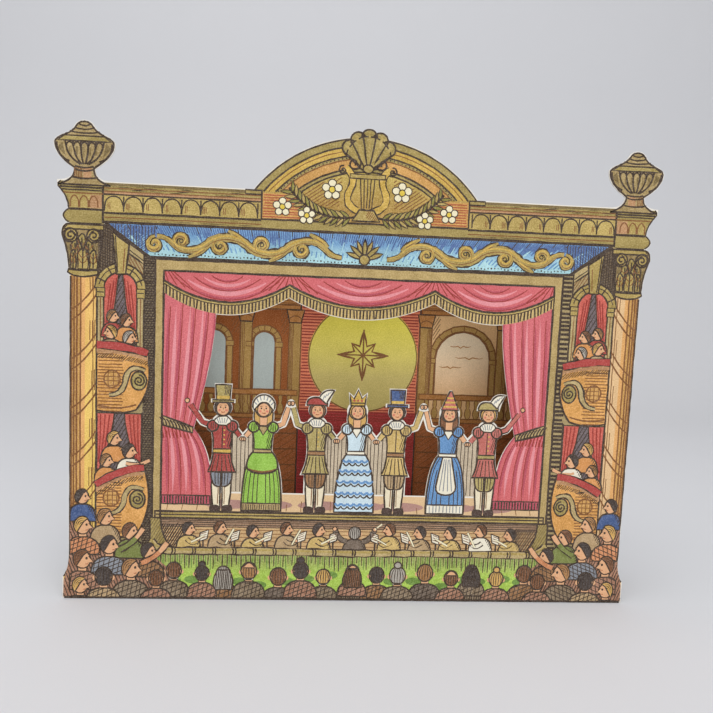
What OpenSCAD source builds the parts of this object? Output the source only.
// Stand-up toy theatre card: a die-cut front sheet glued to a folded stage back.
// The card stands on its lower edges, with the front sheet towards -Y and +Z up.

/* [Card] */
// Thickness of the printed card
card_t = 0.4; // [0.3:0.05:0.6]
// Depth of the standing card, from the front face to the back face
stage_depth = 30; // [22:1:40]

/* [Proscenium] */
// Width over the shafts of the two columns
columns_w = 190; // [182:1:204]
// Height of the cornice top above the table
cornice_h = 138.4; // [135:0.2:146]
// Height of the swelling column foot
foot_h = 15; // [8:0.5:20]
// How far the column foot stands out from the shaft
foot_step = 2; // [0.6:0.1:3]
// Height of the ring under the capital
ring_h = 1.6; // [0.8:0.1:2.4]
// How far the ring stands out from the shaft
ring_step = 0.9; // [0.4:0.1:1.6]
// Height of the leafy capital
capital_h = 14.8; // [10:0.2:18]
// How far the capital stands out from the shaft
capital_step = 2.7; // [1.8:0.1:4]
// Height of the rounded band above the capital
band_h = 4.6; // [3:0.1:6]
// How far the rounded band stands out from the shaft
band_step = 2; // [1:0.1:3.5]
// How far the outline draws in above and below the rounded band
band_neck = 0.6; // [0:0.1:0.9]
// Height of the hollow moulding under the cornice
cove_h = 7; // [4:0.2:9]
// Height of the cornice edge
cornice_edge_h = 2; // [1:0.1:3]
// How far the cornice stands out from the shaft
cornice_step = 3.9; // [3:0.1:5]

/* [Pediment] */
// Width of the arched pediment where it meets the cornice
pediment_w = 74; // [60:1:90]
// Rise of the pediment above the cornice
pediment_rise = 18.4; // [14:0.2:22]
// Radius of the scallop shell on top of the pediment
shell_r = 10; // [7:0.2:12]
// How far the shell stands above the pediment
shell_rise = 2.8; // [1.5:0.1:5]
// Number of ribs of the shell
shell_ribs = 5; // [3:2:9]

/* [Urns] */
// Distance from a column's outer edge in to the middle of its urn
urn_inset = 4.6; // [3:0.1:8]
// Width of an urn at its handles
urn_w = 19.2; // [15:0.2:22]
// Width of an urn's foot
urn_foot_w = 17; // [12:0.2:18]
// Width of an urn's neck
urn_neck_w = 6.8; // [4:0.2:9]
// Height of the neck above the cornice
urn_neck_z = 3.6; // [2.4:0.1:5]
// Height of the handles above the cornice
urn_handle_z = 11.6; // [9:0.1:14]
// Height of the shoulder of the lid above the cornice
urn_lid_z = 14.4; // [13:0.1:17]
// Width of the lid at its shoulder
urn_lid_w = 12.6; // [9:0.2:14]
// Width of the lid where its rounded top begins
urn_top_w = 6.6; // [4:0.2:8]
// Height of an urn above the cornice
urn_h = 18.8; // [17.4:0.2:22]

/* [Stage] */
// Width of the stage inside the gold frame
stage_w = 130; // [124:1:138]
// Height of the frame's inner top edge above the table
stage_top_z = 111; // [108:0.2:114]
// Height of the stage's front edge above the table
stage_z = 30.5; // [27:0.5:34]
// Height of the strip of printed stage floor that isn't cut away
floor_strip_h = 7; // [5:0.5:9]
// Drop of the middle swag's fringe below the frame
swag_drop = 13.8; // [11:0.2:17]
// Rise of the fringe from the middle of a swag to its gathered ends
swag_rise = 6.4; // [4:0.2:8]
// Width of the middle swag
mid_swag_w = 48.6; // [40:0.2:56]
// Width of a drape just under the valance
drape_top_w = 17; // [14:0.5:20]
// Width of a drape at its tie-back
drape_tie_w = 10.5; // [8:0.5:13]
// Width of a drape where it meets the floor
drape_foot_w = 17; // [14:0.5:19]
// Height of the tie-backs above the stage
tie_rise = 28.5; // [25:0.5:30]

/* [Players] */
// Distance between two players of a group
player_pitch = 13.5; // [12.5:0.1:14.4]
// Distance from the middle to the gap under a pair of raised hands
archway_x = 22.5; // [21.5:0.1:23.4]
// Height of the waist above the stage
waist_rise = 21.5; // [19:0.5:24]
// Height of the shoulders above the stage
shoulder_rise = 31; // [29:0.5:33]
// Height of the middle of the head above the stage
head_rise = 36; // [35:0.5:38]
// Height of the raised hands above the stage
raised_hand_rise = 38; // [36:0.5:41]
// Height of the lowered hands above the stage
lowered_hand_rise = 25.5; // [23:0.5:28]
// How far an outer player's hand reaches over the drape
drape_reach = 2.5; // [1.5:0.5:5]
// How far an elbow stands out from the shoulder
elbow_out = 3.4; // [2:0.2:4.4]
// How far a raised elbow stands above the shoulder
elbow_rise = 1.2; // [0:0.2:3]
// Width of a puffed sleeve at the shoulder
sleeve_w = 4.4; // [3:0.2:5]
// Width of the locks of hair beside a neck
locks_w = 7.6; // [6.4:0.2:8.4]
// Width of a ruff round a neck
ruff_w = 6.6; // [5:0.2:8]
// Width of a gown at its hem
gown_w = 14.5; // [12:0.5:15.5]
// Width of a tunic at its lower edge
tunic_w = 10.6; // [9:0.2:12]
// Height of a tunic's skirt below the waist
tunic_skirt_h = 8; // [5:0.5:11]
// Width of a pair of legs in hose
legs_w = 7.8; // [6:0.2:8.6]
// Width of a waist
waist_w = 6.6; // [5:0.2:8]
// Width of the shoulders
shoulder_w = 9; // [8:0.2:10.5]
// Width of a neck
neck_w = 3.4; // [2.6:0.2:4.4]
// Width of a head with its hair
head_d = 6.2; // [5:0.2:7.2]
// Width of an arm
arm_w = 2.6; // [2:0.1:3.2]
// Height of the tallest headgear above the middle of the head
hat_rise = 8; // [6.4:0.2:9.6]

/* [Stage back] */
// Height of the folded back and wings
back_h = 128; // [110:1:134]
// How far the wings stand inside the column edges
wing_inset = 2; // [1:0.5:6]
// Width of a glue flap behind a column
flap_w = 11; // [8:0.5:16]
// Length by which a glue flap tapers at each end
flap_taper = 7; // [2:0.5:14]
// Radius inside a fold
fold_r = 0.5; // [0.3:0.1:1.2]

/* [Hidden] */
curve_steps = 8;
arc_fn = 64;
half_w = columns_w / 2;
cove_z = cornice_h - cornice_edge_h - cove_h;
band_z = cove_z - band_h;
ring_top = band_z - capital_h;
neck_z = ring_top - ring_h;
urn_x = half_w - urn_inset;
urn_top_z = (urn_lid_z + urn_h) / 2;
pediment_r = (pow(pediment_w / 2, 2) + pow(pediment_rise, 2)) / (2 * pediment_rise);
pediment_top = cornice_h + pediment_rise;
shell_z = pediment_top + shell_rise - shell_r;
floor_z = stage_z + floor_strip_h;
tie_z = stage_z + tie_rise;
side_swag_w = (stage_w - mid_swag_w) / 2;
waist_z = stage_z + waist_rise;
shoulder_z = stage_z + shoulder_rise;
head_z = stage_z + head_rise;
raised_hand_z = stage_z + raised_hand_rise;
lowered_hand_z = stage_z + lowered_hand_rise;
inner_pair_x = 2 * archway_x - player_pitch;
outer_pair_x = inner_pair_x + player_pitch;
front_y = -stage_depth / 2;
wing_x = half_w - wing_inset;
bend_r = fold_r + card_t;

// Points of a curve from a to c that is drawn towards b
function curve(a, b, c) =
    [for (i = [0:curve_steps]) let (t = i / curve_steps)
        pow(1 - t, 2) * a + 2 * t * (1 - t) * b + pow(t, 2) * c];

// The same points on the other side of the middle, in reverse order
function mirrored(points) =
    [for (i = [len(points) - 1:-1:0]) [-points[i][0], points[i][1]]];

// A closed shape from the points of its right half, listed from the bottom up
function both_sides(points) = concat(points, mirrored(points));

// Right edge of the front sheet from the table up to the cornice
wall_edge = concat(
    [[half_w + foot_step, 0]],
    curve([half_w + foot_step, foot_h / 2], [half_w, foot_h * 2 / 3], [half_w, foot_h]),
    [[half_w, neck_z], [half_w + ring_step, neck_z + ring_h / 2]],
    curve([half_w + ring_step / 2, ring_top], [half_w + ring_step, ring_top + capital_h / 2],
        [half_w + capital_step, band_z - capital_h / 4]),
    curve([half_w + capital_step, band_z - capital_h / 4], [half_w + capital_step, band_z],
        [half_w + band_neck, band_z]),
    curve([half_w + band_neck, band_z], [half_w + 2 * band_step, band_z + band_h / 2],
        [half_w + band_neck, cove_z]),
    curve([half_w + band_neck, cove_z], [half_w + band_neck, cove_z + cove_h / 2],
        [half_w + cornice_step, cove_z + cove_h]),
    [[half_w + cornice_step, cornice_h - cornice_edge_h / 2],
        [half_w + cornice_step - cornice_edge_h / 2, cornice_h]]
);

// Right half of an urn's outline above the cornice, from its foot up to its lid
urn_edge = concat(
    [[urn_foot_w / 2, -cornice_edge_h]],
    curve([urn_foot_w / 2, 0], [urn_neck_w / 2, 0], [urn_neck_w / 2, urn_neck_z]),
    curve([urn_neck_w / 2, urn_neck_z], [urn_w / 2, (urn_neck_z + urn_handle_z) / 2],
        [urn_w / 2, urn_handle_z]),
    curve([urn_w / 2, urn_handle_z], [urn_w / 2, (urn_handle_z + urn_lid_z) / 2],
        [urn_lid_w / 2, urn_lid_z]),
    curve([urn_lid_w / 2, urn_lid_z], [(urn_lid_w / 2 + urn_top_w) / 3, (2 * urn_lid_z + urn_top_z) / 3],
        [urn_top_w / 2, urn_top_z]),
    curve([urn_top_w / 2, urn_top_z], [urn_top_w / 3, urn_h], [0, urn_h])
);

// Height of the lower edge of the fringe at a distance from the middle of the stage
function fringe_z(x) =
    let (swag_w = x < mid_swag_w / 2 ? mid_swag_w : side_swag_w,
        swag_x = x < mid_swag_w / 2 ? 0 : (mid_swag_w + side_swag_w) / 2)
    stage_top_z - swag_drop + swag_rise * pow(2 * (x - swag_x) / swag_w, 2);

// Right half of the opening that the drapes, the fringe and the floor leave
drape_top_x = stage_w / 2 - drape_top_w;
drape_tie_x = stage_w / 2 - drape_tie_w;
drape_foot_x = stage_w / 2 - drape_foot_w;
fringe_steps = 12;
opening_edge = concat(
    curve([drape_foot_x, floor_z], [drape_foot_x, waist_z], [drape_tie_x, tie_z]),
    curve([drape_tie_x, tie_z], [drape_top_x, (tie_z + stage_top_z) / 2],
        [drape_top_x, fringe_z(drape_top_x)]),
    [for (i = [1:fringe_steps]) let (x = drape_top_x - (drape_top_x - mid_swag_w / 2) * i / fringe_steps)
        [x, fringe_z(x)]],
    [for (i = [1:fringe_steps]) let (x = mid_swag_w / 2 * (1 - i / (fringe_steps + 0.5))) [x, fringe_z(x)]]
);

// Right half of a player's shoulders and neck, above the waist
bust_edge = concat(
    curve([waist_w / 2, waist_z], [waist_w / 2, shoulder_z - arm_w], [shoulder_w / 2, shoulder_z - arm_w]),
    curve([shoulder_w / 2, shoulder_z - arm_w], [shoulder_w / 2, shoulder_z], [neck_w / 2, shoulder_z]),
    [[neck_w / 2, head_z]]
);

// Right half of a player in a gown, and of one in a tunic and hose
gown_edge = concat(
    curve([gown_w / 2, stage_z], [gown_w / 2, waist_z - tunic_skirt_h / 2], [waist_w / 2, waist_z]),
    bust_edge
);
tunic_edge = concat(
    [[legs_w / 2, stage_z], [legs_w / 2, waist_z - tunic_skirt_h]],
    curve([tunic_w / 2, waist_z - tunic_skirt_h], [waist_w / 2, waist_z - tunic_skirt_h / 2],
        [waist_w / 2, waist_z]),
    bust_edge
);

// A straight length of limb with round ends
module limb(from, to) {
    reach = to - from;
    translate(from) {
        circle(d = arm_w, $fn = arc_fn);
        rotate(atan2(reach[1], reach[0])) translate([0, -arm_w / 2]) square([norm(reach), arm_w]);
        translate(reach) circle(d = arm_w, $fn = arc_fn);
    }
}

// Where an arm joins the body, on the given side of a player at x
function arm_pit(x, side) = [x + side * (shoulder_w - arm_w) / 2, shoulder_z - arm_w / 2];

// A puffed sleeve, and a raised arm that is bent at the elbow
module sleeve(x, side) {
    translate(arm_pit(x, side)) circle(d = sleeve_w, $fn = arc_fn);
}

module raised_arm(x, side, hand) {
    elbow = arm_pit(x, side) + [side * elbow_out, elbow_rise];
    sleeve(x, side);
    limb(arm_pit(x, side), elbow);
    limb(elbow, hand);
}

// Headgear on a head whose middle is at the origin
module headgear(kind) {
    r = head_d / 2;
    if (kind == "tall hat") {
        translate([-r * 1.3, r * 0.5]) square([r * 2.6, r * 0.4]);
        polygon([[-r * 0.8, 0], [r * 0.8, 0], [r * 0.95, hat_rise], [-r * 0.95, hat_rise]]);
    }
    if (kind == "bonnet") {
        translate([0, r / 3]) circle(r = r * 1.3, $fn = arc_fn);
    }
    if (kind == "crown") {
        circle(r = r * 1.15, $fn = arc_fn);
        polygon(both_sides([[r * 0.8, 0], [r * 1.05, hat_rise - r / 2], [r * 0.45, r * 1.6], [0, hat_rise]]));
    }
    if (kind == "plumed cap") {
        polygon(concat(
            curve([-r * 1.35, r * 0.4], [-r * 1.3, r * 1.7], [0, r * 1.5]),
            curve([r * 0.2, r * 1.6], [r * 0.6, hat_rise], [r * 1.9, hat_rise - r / 3]),
            curve([r * 1.9, hat_rise - r / 3], [r * 1.3, r * 1.2], [r * 1.2, r * 0.4])
        ));
    }
    if (kind == "cone hat") {
        circle(r = r * 1.15, $fn = arc_fn);
        polygon([[-r * 1.05, r * 0.3], [r * 1.05, r * 0.3], [r * 0.15, hat_rise], [-r * 0.15, hat_rise]]);
    }
}

// Right half of the hair that falls to the shoulders, and of a ruff
locks_edge = curve([neck_w / 2, shoulder_z - arm_w / 2], [locks_w - head_d / 2, shoulder_z],
    [head_d / 2, head_z]);
ruff_edge = curve([neck_w / 2, shoulder_z - arm_w / 2], [ruff_w - neck_w / 2, shoulder_z + arm_w / 4],
    [neck_w / 2, shoulder_z + arm_w]);

// One player of the row: body, head, hair or ruff, and headgear at a place on the stage
module player(x, edge, neck_edge, kind) {
    translate([x, 0]) polygon(both_sides(edge));
    translate([x, 0]) polygon(both_sides(neck_edge));
    translate([x, head_z]) circle(d = head_d, $fn = arc_fn);
    translate([x, head_z]) headgear(kind);
}

// Two neighbours in a group hold lowered hands, with the card left uncut below them
module pair_link(x_left, x_right) {
    hands = [(x_left + x_right) / 2, lowered_hand_z];
    sleeve(x_left, 1);
    sleeve(x_right, -1);
    limb(arm_pit(x_left, 1), hands);
    limb(arm_pit(x_right, -1), hands);
    polygon([[x_left, stage_z], [x_right, stage_z], arm_pit(x_right, -1), hands, arm_pit(x_left, 1)]);
}

// The row of players, symmetrical but for their headgear
module players() {
    player(-outer_pair_x, tunic_edge, ruff_edge, "tall hat");
    player(-inner_pair_x, gown_edge, locks_edge, "bonnet");
    player(-player_pitch, tunic_edge, ruff_edge, "plumed cap");
    player(0, gown_edge, locks_edge, "crown");
    player(player_pitch, tunic_edge, ruff_edge, "tall hat");
    player(inner_pair_x, gown_edge, locks_edge, "cone hat");
    player(outer_pair_x, tunic_edge, ruff_edge, "plumed cap");
    pair_link(-outer_pair_x, -inner_pair_x);
    pair_link(-player_pitch, 0);
    pair_link(0, player_pitch);
    pair_link(inner_pair_x, outer_pair_x);
    for (side = [-1, 1]) {
        raised_arm(side * outer_pair_x, side, [side * (drape_tie_x + drape_reach), raised_hand_z]);
        raised_arm(side * inner_pair_x, -side, [side * archway_x, raised_hand_z]);
        raised_arm(side * player_pitch, side, [side * archway_x, raised_hand_z]);
    }
}

// The arched pediment and its scallop shell
module pediment() {
    intersection() {
        translate([0, pediment_top - pediment_r]) circle(r = pediment_r, $fn = arc_fn);
        translate([-pediment_w / 2, cornice_h - cornice_edge_h])
            square([pediment_w, pediment_rise + cornice_edge_h]);
    }
    rib_pitch = 180 / (shell_ribs + 1);
    rib_r = shell_r * sin(rib_pitch / 2) * 1.1;
    translate([0, shell_z]) {
        circle(r = shell_r - rib_r, $fn = arc_fn);
        for (i = [1:shell_ribs]) rotate(i * rib_pitch) translate([shell_r - rib_r, 0])
            circle(r = rib_r, $fn = arc_fn);
    }
}

// The die-cut front sheet: outline, less the stage opening round the players
module theatre_front() {
    color("goldenrod")
    translate([0, front_y + card_t, 0]) rotate([90, 0, 0]) linear_extrude(card_t)
    difference() {
        union() {
            polygon(both_sides(wall_edge));
            pediment();
            for (side = [-1, 1]) translate([side * urn_x, cornice_h]) polygon(both_sides(urn_edge));
        }
        difference() {
            polygon(both_sides(opening_edge));
            players();
        }
    }
}

// A fold that turns through a right angle about the origin, in plan
module fold() {
    intersection() {
        difference() {
            circle(r = bend_r, $fn = arc_fn);
            circle(r = fold_r, $fn = arc_fn);
        }
        square(bend_r);
    }
}

// The stage back: one sheet folded into a back, two wings and two glue flaps
module stage_back() {
    wall_y = stage_depth / 2;
    flap_y = front_y + card_t;
    color("ivory") {
        linear_extrude(back_h) {
            translate([-wing_x + bend_r, wall_y - card_t]) square([2 * (wing_x - bend_r), card_t]);
            for (side = [0, 1]) mirror([side, 0]) {
                translate([wing_x - bend_r, wall_y - bend_r]) fold();
                translate([wing_x - card_t, flap_y + bend_r])
                    square([card_t, stage_depth - card_t - 2 * bend_r]);
                translate([wing_x - bend_r, flap_y + bend_r]) mirror([0, 1]) fold();
            }
        }
        for (side = [0, 1]) mirror([side, 0, 0])
            translate([wing_x - bend_r, flap_y + card_t, 0]) rotate([90, 0, 0]) linear_extrude(card_t)
                polygon([[0, 0], [0, back_h], [bend_r - flap_w, back_h - flap_taper],
                    [bend_r - flap_w, flap_taper]]);
    }
}

theatre_front();
stage_back();
